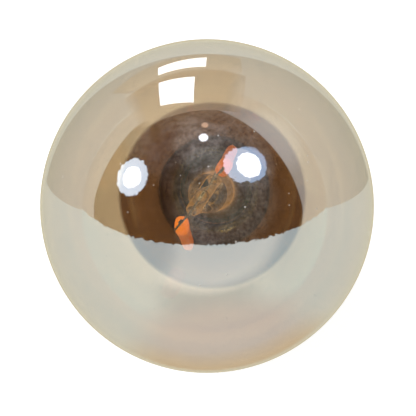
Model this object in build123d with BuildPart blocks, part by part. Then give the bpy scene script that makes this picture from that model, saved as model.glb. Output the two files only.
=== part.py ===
from build123d import *

import math
import os

os.makedirs("parts", exist_ok=True)

# Globe filament lamp with an E27 screw cap. Millimetres, +Z up.
# The origin is the tip of the centre contact, on the lamp's axis: cap down, crown of the globe up.

# Envelope
globe_radius = 47.5
glass_wall = 0.9
neck_radius = 17.0
neck_sweep = 20.64  # hollow curve from the neck to the globe
neck_height = 0.9  # straight part between the shoulder and the hollow curve
mouth_gap = 0.5  # between the glass tube and the bore of the cap's shell
mouth_depth = 6.5
rim_gap = 0.6  # glass shoulder above the cap's rim

# Screw cap
cap_wall = 0.35
root_radius = 12.15
crest_height = 0.95
skirt_step = 1.0  # of the skirt outside the thread's root
skirt_height = 4.2
thread_pitch = 3.629
thread_margin = 0.86  # plain wall above and below the middle of the ridge
knuckle_radius = 1.1
run_out_radius = 6.0
run_out_angle = 60.0
step_height = 1.0  # slope from the thread to the skirt
lip_height = 6.1
lip_bevel = 1.5
insulator_fit = 0.05
insulator_depth = 0.825  # black glass above the shell's bevel
contact_radius = 4.8
contact_height = 1.4
contact_flat = 2.2
contact_edge = 0.35  # straight rim of the contact below the black glass
contact_shoulder = 0.5  # black glass around the contact
recess_radius = 3.0  # hollow in the black glass around the live wire
recess_depth = 2.0
ledge_width = 2.0
cement_fit = 0.05
cement_margin = 0.4
solder_radius = 1.2
solder_drop = 0.4  # middle of the solder below the cap's rim

# Stem
stem_radius = 6.0
stem_wall = 1.4
flare_height = 13.5
flare_rim = 0.9
flare_width = 1.5  # flat ring of the flare under the glass wall
stem_lean = 7.0
stem_lean_turn = 170.0
lean_radius = 20.0
lean_lead = 0.5  # straight tube before the bend
tube_run = 13.0  # from the bend to the press
press_turn = 55.7
press_draw = 6.0  # from the round tube to the flat press
press_height = 4.0
press_width = 14.0
press_thickness = 4.0
press_corner = 1.9
bead_radius = 1.5
pillar_sink = 1.0
pillar_radius = 1.25
button_radius = 2.1
exhaust_radius = 2.2
exhaust_wall = 0.7
exhaust_tip = 3.0
exhaust_taper = 28.0
exhaust_clear = 0.8  # above the driver board
exhaust_hole = 0.8
exhaust_hole_drop = 2.0

# Wires
wire_radius = 0.3
wire_fit = 0.03
lead_exit = 5.6  # from the middle of the press
lead_inset = 3.4  # inside the stem tube
lead_run = 4.0  # straight end of a lead before its weld
lead_overrun = 1.2
lead_height = 1.5  # above the press before it turns out
bridge_run = 3.0
bridge_overrun = 3.2
bend_radius = 1.5
easy_bend = 4.0

# Filaments
filament_height = 37.5
foot_spread = 16.0
foot_turn = 66.5
foot_clear = 3.2  # feet above the press
head_spread = 9.25
head_turn = 50.3
head_shift_x = -1.3
head_shift_y = 3.4
jacket_width = 4.6
jacket_depth = 3.6
jacket_margin = 2.6  # bare length at each end
jacket_fit = 0.03
strip_width = 1.6
strip_thickness = 0.5
chip_length = 0.9
chip_width = 0.5
chip_height = 0.2
chip_count = 22
tab_width = 1.5
tab_thickness = 0.3
tab_overrun = 0.9
chip_margin = 2.0

# Driver
board_thickness = 1.0
board_fit = 0.3
driver_headroom = 4.5  # between the board and the flare
pin_fit = 0.05
pin_overrun = 0.5
capacitor_radius = 2.3
capacitor_length = 9.0
resistor_radius = 1.1
resistor_length = 6.0
leg_radius = 0.25
leg_reach = 1.2
resistor_clear = 0.4
edge_round = 0.4
rectifier_width = 4.6
rectifier_depth = 3.8
rectifier_height = 2.3
driver_chip_width = 4.9
driver_chip_depth = 3.9
driver_chip_height = 1.6
package_edge = 0.25
pin_width = 0.6
pin_length = 1.2
component_clear = 0.1
neutral_radius = 0.2
neutral_inset = 1.6
neutral_run = 0.8
neutral_turn = -35.0
live_bend = 1.0

# Places on the driver board, as shares of the shell's bore
capacitor_share = 0.44
resistor_share = -0.475
live_share = (-0.3, -0.085)
rectifier_share = (-0.51, 0.2)
driver_chip_share = (0.49, -0.135)

# Radii of the cap, and of the glass that it holds
skirt_radius = root_radius + skirt_step
crest_radius = root_radius + crest_height
shell_bore = root_radius - cap_wall
mouth_radius = shell_bore - mouth_gap

# Levels from the cap's lip up: black glass, driver, seal, rim, neck and globe
shoulder_z = lip_height + lip_bevel
insulator_top = shoulder_z + cap_wall / 2 + insulator_depth
board_height = insulator_top + 2 * capacitor_radius + 4 * component_clear
board_top = board_height + board_thickness
seal_z = board_top + driver_headroom + flare_rim
cap_height = seal_z + mouth_depth
skirt_z = cap_height - skirt_height
throat_z = cap_height + rim_gap
shoulder_drop = neck_radius - mouth_radius
neck_z = throat_z + shoulder_drop + neck_height
neck_span = math.sqrt((globe_radius + neck_sweep) ** 2 - (neck_radius + neck_sweep) ** 2)
globe_z = neck_z + neck_span
crown_z = globe_z + globe_radius
stem_bore = stem_radius - stem_wall
flare_top = seal_z + flare_height
bend_z = flare_top + lean_radius * math.tan(math.radians(stem_lean / 2)) + lean_lead


def level(radius, turn, z=0.0):
    """Point at a radius and a turn about the lamp's axis."""
    angle = math.radians(turn)
    return Vector(radius * math.cos(angle), radius * math.sin(angle), z)


# Places on the driver board
capacitor_y = shell_bore * capacitor_share
resistor_y = shell_bore * resistor_share
live_hole = Vector(*live_share) * shell_bore
rectifier_place = Vector(*rectifier_share) * shell_bore
driver_chip_place = Vector(*driver_chip_share) * shell_bore


def flat(direction, axis):
    """Part of a direction that is square to an axis, as a unit vector."""
    return (direction - axis * direction.dot(axis)).normalized()


lean_axis = level(math.sin(math.radians(stem_lean)), stem_lean_turn, math.cos(math.radians(stem_lean)))
press_axis = flat(level(1.0, press_turn), lean_axis)
mount = Plane(origin=(0, 0, bend_z), x_dir=press_axis, z_dir=lean_axis)
press_base = tube_run
press_top = press_base + press_draw + press_height


def on_mount(across, along):
    """Point on the leaning mount, across the press and along its axis."""
    return mount.from_local_coords(Vector(across, 0, along))


foot_z = on_mount(0, press_top).Z + foot_clear
head_z = foot_z + filament_height


def foot(side):
    """Lower end of a filament."""
    return level(side * foot_spread, foot_turn, foot_z)


def head(side):
    """Upper end of a filament."""
    return level(side * head_spread, head_turn, head_z) + Vector(head_shift_x, head_shift_y, 0)


def filament_axis(side):
    """Direction of a filament, from its foot to its head."""
    return (head(side) - foot(side)).normalized()


def lead_direction(side):
    """Direction of a lead where it crosses the filament's foot."""
    return flat(foot(side) - on_mount(side * lead_exit, press_top + 2 * bead_radius), filament_axis(side))


def bridge_direction(side):
    """Direction of the bridge wire where it crosses the filament's head."""
    return flat(head(side) - head(-side), filament_axis(side))


# The terminals lie flat against the wires that they are welded to.
lap_offset = wire_radius + tab_thickness / 2


def lap_side(side, direction):
    """Side of a terminal that its wire lies on."""
    return filament_axis(side).cross(direction).normalized()


def lap_point(side, end, direction):
    """Point on a wire's centre line where it crosses a terminal."""
    return end + lap_side(side, direction) * lap_offset


def wire(points, radii, radius):
    """Round wire along straight runs joined by arcs."""
    with BuildPart() as run:
        with BuildLine() as path:
            FilletPolyline(*points, radius=radii)
        start = path.line.wires()[0]
        with BuildSketch(Plane(origin=start @ 0, z_dir=start % 0)):
            Circle(radius)
        sweep(path=start)
    return run


def lead_points(side):
    """Route of a lead: board, stem tube, press, foot of the filament."""
    lap = lap_point(side, foot(side), lead_direction(side))
    return [
        level(side * lead_inset, press_turn, board_height - pin_overrun),
        on_mount(side * lead_inset, 0.0),
        on_mount(side * lead_inset, press_base - pillar_sink),
        on_mount(side * lead_exit, press_top + lead_height),
        lap - lead_direction(side) * lead_run,
        lap + lead_direction(side) * lead_overrun,
    ]


lead_radii = [lean_radius, easy_bend, bend_radius, easy_bend]
button = head(1) * 0.5 + head(-1) * 0.5 - Vector(0, 0, button_radius)
bridge_points = [
    lap_point(-1, head(-1), bridge_direction(-1)) + bridge_direction(-1) * bridge_overrun,
    lap_point(-1, head(-1), bridge_direction(-1)) - bridge_direction(-1) * bridge_run,
    button,
    lap_point(1, head(1), bridge_direction(1)) - bridge_direction(1) * bridge_run,
    lap_point(1, head(1), bridge_direction(1)) + bridge_direction(1) * lead_overrun,
]
bridge_radii = [bend_radius, easy_bend, bend_radius]


def save(piece, name):
    """Label a finished piece and write its file."""
    piece.part.label = name
    export_step(piece.part, f"parts/{name}.step")


# Blown glass envelope: mouth, rolled shoulder, neck and globe
shoulder_radius = (shoulder_drop**2 + (neck_z - throat_z) ** 2) / (2 * shoulder_drop)
sweep_angle = math.degrees(math.atan2(neck_span, neck_radius + neck_sweep))


def envelope_line(inset):
    """Outline of the glass from its lower rim to the crown, set in by a wall."""
    radius = shoulder_radius - inset
    across = mouth_radius - inset - (neck_radius - shoulder_radius)
    drop = math.degrees(math.acos(across / radius))
    shoulder = CenterArc((neck_radius - shoulder_radius, neck_z), radius, -drop, drop)
    Line((mouth_radius - inset, seal_z), shoulder @ 0)
    CenterArc((neck_radius + neck_sweep, neck_z), neck_sweep + inset, 180, -sweep_angle)
    CenterArc((0, globe_z), globe_radius - inset, -sweep_angle, 90 + sweep_angle)


with BuildPart() as glass_envelope:
    with BuildSketch(Plane.XZ):
        with BuildLine():
            envelope_line(0)
            envelope_line(glass_wall)
            Line((mouth_radius - glass_wall, seal_z), (mouth_radius, seal_z))
            Line((0, crown_z - glass_wall), (0, crown_z))
        make_face()
    revolve(axis=Axis.Z)
save(glass_envelope, "glass_envelope")

# Leads, from the driver through the press to the filaments' feet
for side, letter in ((-1, "a"), (1, "b")):
    lead_wire = wire(lead_points(side), lead_radii, wire_radius)
    save(lead_wire, f"lead_wire_{letter}")

# Bridge wire between the filaments' heads, through the glass button
bridge_wire = wire(bridge_points, bridge_radii, wire_radius)
save(bridge_wire, "bridge_wire")

# Stem: flare, tube, press and pillar, all one piece of glass, with the holes that its wires fill
pillar_foot = on_mount(0, press_top - pillar_sink)
pillar_line = button - pillar_foot
wire_holes = [wire(lead_points(side), lead_radii, wire_radius + wire_fit).part for side in (-1, 1)]
wire_holes.append(wire(bridge_points, bridge_radii, wire_radius + wire_fit).part)

with BuildPart() as stem_glass:
    with BuildSketch(Plane.XZ):
        with BuildLine():
            rim_top = Line((mouth_radius - flare_width, seal_z), (mouth_radius, seal_z))
            rim_edge = Line(rim_top @ 1, (mouth_radius, seal_z - flare_rim))
            rim_base = Line(rim_edge @ 1, (mouth_radius - flare_width - stem_wall / 2, seal_z - flare_rim))
            inner = Spline(rim_base @ 1, (stem_bore, flare_top), tangents=((-0.6, 1), (0, 1)))
            top = Line(inner @ 1, (stem_radius, flare_top))
            Spline(top @ 1, rim_top @ 0, tangents=((0, -1), (0.6, -1)))
        make_face()
    revolve(axis=Axis.Z)
    with BuildLine() as stem_path:
        FilletPolyline((0, 0, flare_top), (0, 0, bend_z), on_mount(0, press_base), radius=lean_radius)
    with BuildSketch(Plane.XY.offset(flare_top)):
        Circle(stem_radius)
        Circle(stem_bore, mode=Mode.SUBTRACT)
    sweep(path=stem_path.line.wires()[0])
    with BuildSketch(mount.offset(press_base)):
        Circle(stem_radius)
    with BuildSketch(mount.offset(press_base + press_draw)):
        RectangleRounded(press_width, press_thickness, press_corner)
    loft()
    with BuildSketch(mount.offset(press_base + press_draw)):
        RectangleRounded(press_width, press_thickness, press_corner)
    extrude(amount=press_height)
    with Locations(on_mount(-lead_exit, press_top), on_mount(lead_exit, press_top)):
        Sphere(bead_radius)
    with BuildSketch(Plane(origin=pillar_foot, z_dir=pillar_line)):
        Circle(pillar_radius)
    extrude(amount=pillar_line.length)
    with Locations(button):
        Sphere(button_radius)
    with BuildSketch(Plane(origin=on_mount(0, press_base - exhaust_hole_drop), z_dir=mount.y_dir)):
        Circle(exhaust_hole)
    extrude(amount=stem_radius + stem_wall, mode=Mode.SUBTRACT)
    for hole in wire_holes:
        add(hole, mode=Mode.SUBTRACT)
save(stem_glass, "stem_glass")

# Exhaust tube inside the stem, drawn to a tip below the flare
exhaust_low = board_top + exhaust_tip + exhaust_clear
with BuildPart() as exhaust_tube:
    with BuildLine() as exhaust_path:
        FilletPolyline(on_mount(0, press_base), (0, 0, bend_z), (0, 0, exhaust_low), radius=lean_radius)
    with BuildSketch(mount.offset(press_base)):
        Circle(exhaust_radius)
        Circle(exhaust_radius - exhaust_wall, mode=Mode.SUBTRACT)
    sweep(path=exhaust_path.line.wires()[0])
    with BuildSketch(Plane.XY.offset(exhaust_low)):
        Circle(exhaust_radius)
    extrude(amount=-exhaust_tip, taper=exhaust_taper)
save(exhaust_tube, "exhaust_tube")


def filament_plane(side):
    """Plane at a filament's foot, X across its width and Z along it."""
    return Plane(origin=foot(side), x_dir=lead_direction(side), z_dir=filament_axis(side))


def terminal(side, end, direction, inward):
    """Flat metal tab lapped on the end of the strip and welded to its wire."""
    lap = lap_side(side, direction)
    plane = Plane(origin=end - lap * (tab_thickness / 2), x_dir=inward, z_dir=lap)
    with BuildPart() as tab:
        with BuildSketch(plane):
            with Locations((-tab_overrun, 0)):
                Rectangle(jacket_margin + tab_overrun, tab_width, align=(Align.MIN, Align.CENTER))
        extrude(amount=tab_thickness)
        corners = tab.edges().filter_by(Axis(end, lap)).sort_by(Axis(end, inward))
        fillet(corners[:2], tab_width / 3)
    return tab


for side, letter in ((-1, "a"), (1, "b")):
    strip_length = (head(side) - foot(side)).length - 2 * jacket_margin
    inner = filament_plane(side).offset(jacket_margin)

    # Strip that carries the light-emitting chips
    with BuildPart() as strip:
        with BuildSketch(inner):
            Rectangle(strip_width, strip_thickness)
        extrude(amount=strip_length)
    save(strip, f"filament_{letter}_strip")

    # Row of chips along one face of the strip
    row = inner.offset(strip_length / 2)
    chip_plane = Plane(
        origin=row.origin + row.y_dir * (strip_thickness / 2),
        x_dir=row.z_dir,
        z_dir=row.y_dir,
    )
    row_length = strip_length - 2 * chip_margin
    chip_pitch = row_length / chip_count
    with BuildPart() as chips:
        with BuildSketch(chip_plane):
            with GridLocations(chip_pitch, 0, chip_count, 1):
                Rectangle(chip_length, chip_width)
        extrude(amount=chip_height)
    save(chips, f"filament_{letter}_chips")

    # Phosphor jacket moulded around the strip
    with BuildPart() as jacket:
        with BuildSketch(inner):
            Ellipse(jacket_width / 2, jacket_depth / 2)
        extrude(amount=strip_length)
        fillet(jacket.edges(), jacket_depth / 4)
        with BuildSketch(inner):
            Rectangle(strip_width + 2 * jacket_fit, strip_thickness + 2 * jacket_fit)
        extrude(amount=strip_length, mode=Mode.SUBTRACT)
        with BuildSketch(chip_plane):
            Rectangle(row_length, chip_width + 2 * jacket_fit)
        extrude(amount=chip_height + jacket_fit, mode=Mode.SUBTRACT)
    save(jacket, f"filament_{letter}_phosphor")

    # Terminals at both ends
    lower = terminal(side, foot(side), lead_direction(side), filament_axis(side))
    save(lower, f"filament_{letter}_lower_terminal")
    upper = terminal(side, head(side), bridge_direction(side), -filament_axis(side))
    save(upper, f"filament_{letter}_upper_terminal")


# Threaded shell of the cap, rolled from sheet
def shell_line(inset):
    """Corners of the shell's plain section, set in by a wall."""
    slant = inset / math.sqrt(2)
    turn = inset * (math.sqrt(2) - 1)
    return [
        (root_radius - lip_bevel - slant, lip_height + slant),
        (root_radius - inset, shoulder_z + turn),
        (root_radius - inset, skirt_z - step_height + turn),
        (skirt_radius - inset, skirt_z + turn),
        (skirt_radius - inset, cap_height),
    ]


def run_out(point, direction, radius):
    """Last turn-in of the thread, an arc that dives into the shell's wall."""
    outward = flat(Vector(point.X, point.Y, 0), Vector(0, 0, 1))
    centre = point - outward * run_out_radius
    with BuildPart() as tail:
        with BuildLine(Plane(origin=centre, x_dir=outward, z_dir=outward.cross(direction))) as path:
            CenterArc((0, 0), run_out_radius, 0, run_out_angle)
        with BuildSketch(Plane(origin=point, z_dir=direction)):
            Circle(radius)
        sweep(path=path.line.wires()[0])
    return tail.part


def thread(radius):
    """Round ridge of the thread with a run-out at each end."""
    start = shoulder_z + thread_margin
    height = skirt_z - step_height - thread_margin - start
    centre = crest_radius - knuckle_radius
    with BuildPart() as ridge:
        with BuildLine():
            path = Helix(pitch=thread_pitch, height=height, radius=centre, center=(0, 0, start))
        with BuildSketch(Plane(origin=path @ 0, z_dir=path % 0)):
            Circle(radius)
        sweep(path=path, is_frenet=True)
    return [ridge.part, run_out(path @ 0, -(path % 0), radius), run_out(path @ 1, path % 1, radius)]


thread_ridges = thread(knuckle_radius)
thread_hollows = thread(knuckle_radius - cap_wall)

with BuildPart() as cap_shell:
    with BuildSketch(Plane.XZ):
        with BuildLine():
            Polyline(*shell_line(0), (0, cap_height), (0, lip_height), close=True)
        make_face()
    revolve(axis=Axis.Z)
    for ridge in thread_ridges:
        add(ridge)
    with BuildSketch(Plane.XZ):
        with BuildLine():
            slot = shell_line(cap_wall)
            Polyline((0, lip_height), (slot[0][0], lip_height), *slot, (0, cap_height), close=True)
        make_face()
    revolve(axis=Axis.Z, mode=Mode.SUBTRACT)
    for hollow in thread_hollows:
        add(hollow, mode=Mode.SUBTRACT)
save(cap_shell, "cap_shell")

# Black glass between the shell and the centre contact
insulator_seat = shell_line(cap_wall + insulator_fit)
with BuildPart() as cap_insulator:
    with BuildSketch(Plane.XZ):
        with BuildLine():
            Polyline(
                (wire_radius + pin_fit, contact_height),
                (contact_radius + contact_shoulder, contact_height),
                (insulator_seat[0][0], lip_height),
                insulator_seat[0],
                insulator_seat[1],
                (insulator_seat[1][0], insulator_top),
                (insulator_seat[1][0] - ledge_width, insulator_top),
                (recess_radius, insulator_top - recess_depth),
                (wire_radius + pin_fit, insulator_top - recess_depth),
                close=True,
            )
        make_face()
    revolve(axis=Axis.Z)
save(cap_insulator, "cap_insulator")

# Centre contact with its soldered dome
with BuildPart() as centre_contact:
    with BuildSketch(Plane.XZ):
        with BuildLine():
            dome_end = (contact_radius, contact_height - contact_edge)
            dome = TangentArc((contact_flat, 0), dome_end, tangent=(1, 0))
            Polyline(
                dome @ 1,
                (contact_radius, contact_height),
                (wire_radius + pin_fit, contact_height),
                (wire_radius + pin_fit, contact_height / 2),
                (0, contact_height / 2),
                (0, 0),
                dome @ 0,
            )
        make_face()
    revolve(axis=Axis.Z)
save(centre_contact, "centre_contact")

# Live wire from the board to the centre contact
live_run = capacitor_radius - component_clear
live_points = [
    live_hole + Vector(0, 0, board_top + pin_overrun),
    live_hole + Vector(0, 0, board_height - live_run),
    (0, 0, insulator_top + wire_radius),
    (0, 0, contact_height / 2),
]
live_wire = wire(live_points, [live_bend, live_bend], wire_radius)
save(live_wire, "live_wire")

# Neutral wire from the board, between the cement and the shell, over the rim
neutral_track = (mouth_radius + shell_bore) / 2
neutral_hole = shell_bore - neutral_inset
neutral_points = [
    level(neutral_hole, neutral_turn, board_height - pin_overrun),
    level(neutral_hole, neutral_turn, board_top + neutral_run),
    level(neutral_track, neutral_turn, seal_z - flare_rim - neutral_run),
    level(neutral_track, neutral_turn, cap_height + rim_gap / 2),
    level(skirt_radius + solder_radius / 2, neutral_turn, cap_height + rim_gap / 2),
]
neutral_radii = [neutral_run, neutral_run, rim_gap / 2]
neutral_wire = wire(neutral_points, neutral_radii, neutral_radius)
save(neutral_wire, "neutral_wire")
neutral_channel = wire(neutral_points, neutral_radii, neutral_radius + wire_fit).part

# Solder that joins the neutral wire to the outside of the skirt
with BuildPart() as side_solder:
    with Locations(level(skirt_radius + solder_radius / 4, neutral_turn, cap_height - solder_drop)):
        Sphere(solder_radius)
    with BuildSketch(Plane.XY.offset(skirt_z)):
        Circle(skirt_radius + neutral_radius / 10)
    extrude(amount=2 * skirt_height, mode=Mode.SUBTRACT)
    add(neutral_channel, mode=Mode.SUBTRACT)
save(side_solder, "side_solder")

# Basing cement between the glass and the skirt
with BuildPart() as basing_cement:
    with BuildSketch(Plane.XY.offset(skirt_z + cement_margin)):
        Circle(skirt_radius - cap_wall - cement_fit)
        Circle(mouth_radius + cement_fit, mode=Mode.SUBTRACT)
    extrude(amount=skirt_height - 1.5 * cement_margin)
    add(neutral_channel, mode=Mode.SUBTRACT)
save(basing_cement, "basing_cement")

# Driver board across the shell's bore, with the holes that its wires pass through
board_radius = shell_bore - board_fit
leg_spread = resistor_length / 2 + leg_reach
board_holes = {
    wire_radius + pin_fit: [level(lead_inset, press_turn), level(-lead_inset, press_turn), live_hole],
    neutral_radius + pin_fit: [level(neutral_hole, neutral_turn)],
    leg_radius + pin_fit: [(-leg_spread, resistor_y), (leg_spread, resistor_y)],
}
with BuildPart() as driver_board:
    with BuildSketch(Plane.XY.offset(board_height)):
        Circle(board_radius)
        for radius, places in board_holes.items():
            with Locations(*places):
                Circle(radius, mode=Mode.SUBTRACT)
    extrude(amount=board_thickness)
save(driver_board, "driver_board")

# Smoothing capacitor lying under the board
with BuildPart() as smoothing_capacitor:
    with BuildSketch(Plane.YZ.offset(-capacitor_length / 2)):
        with Locations((capacitor_y, board_height - capacitor_radius - component_clear)):
            Circle(capacitor_radius)
    extrude(amount=capacitor_length)
    fillet(smoothing_capacitor.edges(), edge_round)
save(smoothing_capacitor, "smoothing_capacitor")

# Fusible resistor under the board, on two bent legs
with BuildPart() as fusible_resistor:
    resistor_z = board_height - resistor_radius - resistor_clear
    with BuildSketch(Plane.YZ.offset(-resistor_length / 2)):
        with Locations((resistor_y, resistor_z)):
            Circle(resistor_radius)
    extrude(amount=resistor_length)
    fillet(fusible_resistor.edges(), edge_round)
    with BuildLine() as legs:
        FilletPolyline(
            (-leg_spread, resistor_y, board_top + pin_overrun),
            (-leg_spread, resistor_y, resistor_z),
            (leg_spread, resistor_y, resistor_z),
            (leg_spread, resistor_y, board_top + pin_overrun),
            radius=2 * leg_radius,
        )
    with BuildSketch(Plane.XY.offset(board_top + pin_overrun)):
        with Locations((-leg_spread, resistor_y)):
            Circle(leg_radius)
    sweep(path=legs.line.wires()[0])
save(fusible_resistor, "fusible_resistor")


def package(name, width, depth, height, place):
    """Moulded package on the board's upper face, with its pins along both sides."""
    with BuildPart() as body:
        with BuildSketch(Plane.XY.offset(board_top + component_clear)):
            with Locations(place):
                Rectangle(width, depth)
        extrude(amount=height)
        chamfer(body.edges().group_by(Axis.Z)[-1], package_edge)
        reach = (depth + pin_length) / 2 - package_edge
        pins = [place + Vector(x * width / 4, y * reach) for x in (-1, 1) for y in (-1, 1)]
        with BuildSketch(Plane.XY.offset(board_top)):
            with Locations(*pins):
                Rectangle(pin_width, pin_length)
        extrude(amount=height / 2)
    save(body, name)


package("bridge_rectifier", rectifier_width, rectifier_depth, rectifier_height, rectifier_place)
package("driver_chip", driver_chip_width, driver_chip_depth, driver_chip_height, driver_chip_place)
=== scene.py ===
"""Looks of a globe filament lamp: half-mirrored amber glass, orange filaments and a nickel screw cap."""
import logging
import math
from dataclasses import dataclass
from enum import Enum
from typing import Any, Mapping, Sequence

import bpy
import numpy as np
from mathutils import Matrix, Vector


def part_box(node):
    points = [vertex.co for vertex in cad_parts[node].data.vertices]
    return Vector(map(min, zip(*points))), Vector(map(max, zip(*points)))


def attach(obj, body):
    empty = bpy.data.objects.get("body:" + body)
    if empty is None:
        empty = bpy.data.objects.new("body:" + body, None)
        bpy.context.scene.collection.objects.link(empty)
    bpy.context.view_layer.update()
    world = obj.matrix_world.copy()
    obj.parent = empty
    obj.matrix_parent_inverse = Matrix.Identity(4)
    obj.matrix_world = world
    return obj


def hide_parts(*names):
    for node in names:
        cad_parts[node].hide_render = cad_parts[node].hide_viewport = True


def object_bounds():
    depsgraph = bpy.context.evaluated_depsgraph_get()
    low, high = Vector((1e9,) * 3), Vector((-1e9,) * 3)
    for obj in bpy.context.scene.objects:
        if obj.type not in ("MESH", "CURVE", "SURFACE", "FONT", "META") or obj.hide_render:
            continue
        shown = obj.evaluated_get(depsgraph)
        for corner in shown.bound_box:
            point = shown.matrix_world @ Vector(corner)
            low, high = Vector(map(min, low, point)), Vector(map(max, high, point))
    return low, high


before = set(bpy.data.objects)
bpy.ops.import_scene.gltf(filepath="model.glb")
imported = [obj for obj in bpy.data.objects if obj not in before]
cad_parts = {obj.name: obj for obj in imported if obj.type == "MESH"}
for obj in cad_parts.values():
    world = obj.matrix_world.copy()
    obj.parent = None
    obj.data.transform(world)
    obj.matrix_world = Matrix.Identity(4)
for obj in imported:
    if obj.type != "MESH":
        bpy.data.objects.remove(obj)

CAD_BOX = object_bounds()
MM = 0.001
PHOTO_WIDTH = 416
WHITE = "#ffffff"
log = logging.getLogger("lamp")

Point = tuple[float, float, float]
Colour = tuple[float, float, float, float]
Span = tuple[float, float]

# The globe's radius in millimetres, and its centre in metres.
GLOBE_RADIUS = 47.5
GLOBE_CENTRE: Point = (0.0, 0.0, 0.0905)

# Node types and settings that the trees use most.
MATHS = "ShaderNodeMath"
MIX = "ShaderNodeMix"
RANGE = "ShaderNodeMapRange"
NOISE = "ShaderNodeTexNoise"
ADD = {"operation": "ADD"}
SUBTRACT = {"operation": "SUBTRACT"}
MULTIPLY = {"operation": "MULTIPLY"}
DIVIDE = {"operation": "DIVIDE"}
POWER = {"operation": "POWER"}
MAXIMUM = {"operation": "MAXIMUM"}
ABSOLUTE = {"operation": "ABSOLUTE"}
ROOT = {"operation": "SQRT"}
SINE = {"operation": "SINE"}
COSINE = {"operation": "COSINE"}
COLOURS = {"data_type": "RGBA"}
EASED = {"interpolation_type": "SMOOTHSTEP"}

# Sockets by number of a Mix node that blends two colours.
FACTOR, UNDER, OVER, BLENDED = 0, 6, 7, 2


class Ray(Enum):
    """Kinds of ray that the studio answers each in its own way."""

    CAMERA = "Is Camera Ray"
    GLOSSY = "Is Glossy Ray"
    TRANSMISSION = "Is Transmission Ray"


def linear(code: str, level: float = 1.0) -> Colour:
    """Turn an sRGB hex colour to linear light.

    Args:
        code: Colour such as "#c08040".
        level: Brightness, where 1 shows the colour as it is written.

    Returns:
        Red, green, blue and an alpha of 1.
    """
    channels = [int(code[i : i + 2], 16) / 255 for i in (1, 3, 5)]
    red, green, blue = (c / 12.92 if c <= 0.04045 else ((c + 0.055) / 1.055) ** 2.4 for c in channels)
    return red * level, green * level, blue * level, 1.0


def add_node(
    tree: bpy.types.NodeTree,
    kind: str,
    settings: Mapping[str, Any] | None = None,
    inputs: Mapping[Any, Any] | None = None,
) -> bpy.types.Node:
    """Add a node with its settings and its links.

    Args:
        tree: Shader or geometry tree.
        kind: Node type, such as "ShaderNodeMath".
        settings: Fields of the node.
        inputs: Values, sockets or nodes by the name or number of the input. A node gives its first output.

    Returns:
        The new node.
    """
    node = tree.nodes.new(kind)
    for name, value in (settings or {}).items():
        setattr(node, name, value)
    for key, value in (inputs or {}).items():
        source = value.outputs[0] if isinstance(value, bpy.types.Node) else value
        if isinstance(source, bpy.types.NodeSocket):
            tree.links.new(source, node.inputs[key])
        else:
            node.inputs[key].default_value = source
    return node


def new_material(name: str) -> tuple[bpy.types.Material, bpy.types.NodeTree, bpy.types.Node]:
    """Start a material with an empty tree.

    Args:
        name: Common name of the real material.

    Returns:
        The material, its tree and its output node.
    """
    material = bpy.data.materials.new(name)
    material.use_nodes = True
    tree = material.node_tree
    tree.nodes.clear()
    return material, tree, add_node(tree, "ShaderNodeOutputMaterial")


def make_object(
    name: str,
    points: np.ndarray,
    faces: Sequence[Sequence[int]],
    materials: Sequence[bpy.types.Material],
) -> bpy.types.Object:
    """Make a smooth mesh object whose place is in its mesh.

    Args:
        name: Name of the piece.
        points: Vertices in metres.
        faces: Vertex numbers of each face.
        materials: Materials in slot order.

    Returns:
        The object, linked to the scene.
    """
    mesh = bpy.data.meshes.new(name)
    mesh.from_pydata(points.tolist(), [], faces)
    mesh.shade_smooth()
    for material in materials:
        mesh.materials.append(material)
    piece = bpy.data.objects.new(name, mesh)
    bpy.context.scene.collection.objects.link(piece)
    return piece


def dress(material: bpy.types.Material, nodes: Sequence[str]) -> None:
    """Give CAD nodes a material in every slot.

    Args:
        material: Material that they share.
        nodes: Names of the nodes.
    """
    for node in nodes:
        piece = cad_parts[node]
        if not piece.material_slots:
            piece.data.materials.append(material)
        for slot in piece.material_slots:
            slot.material = material
        log.info("%s: %s", node, material.name)


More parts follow.
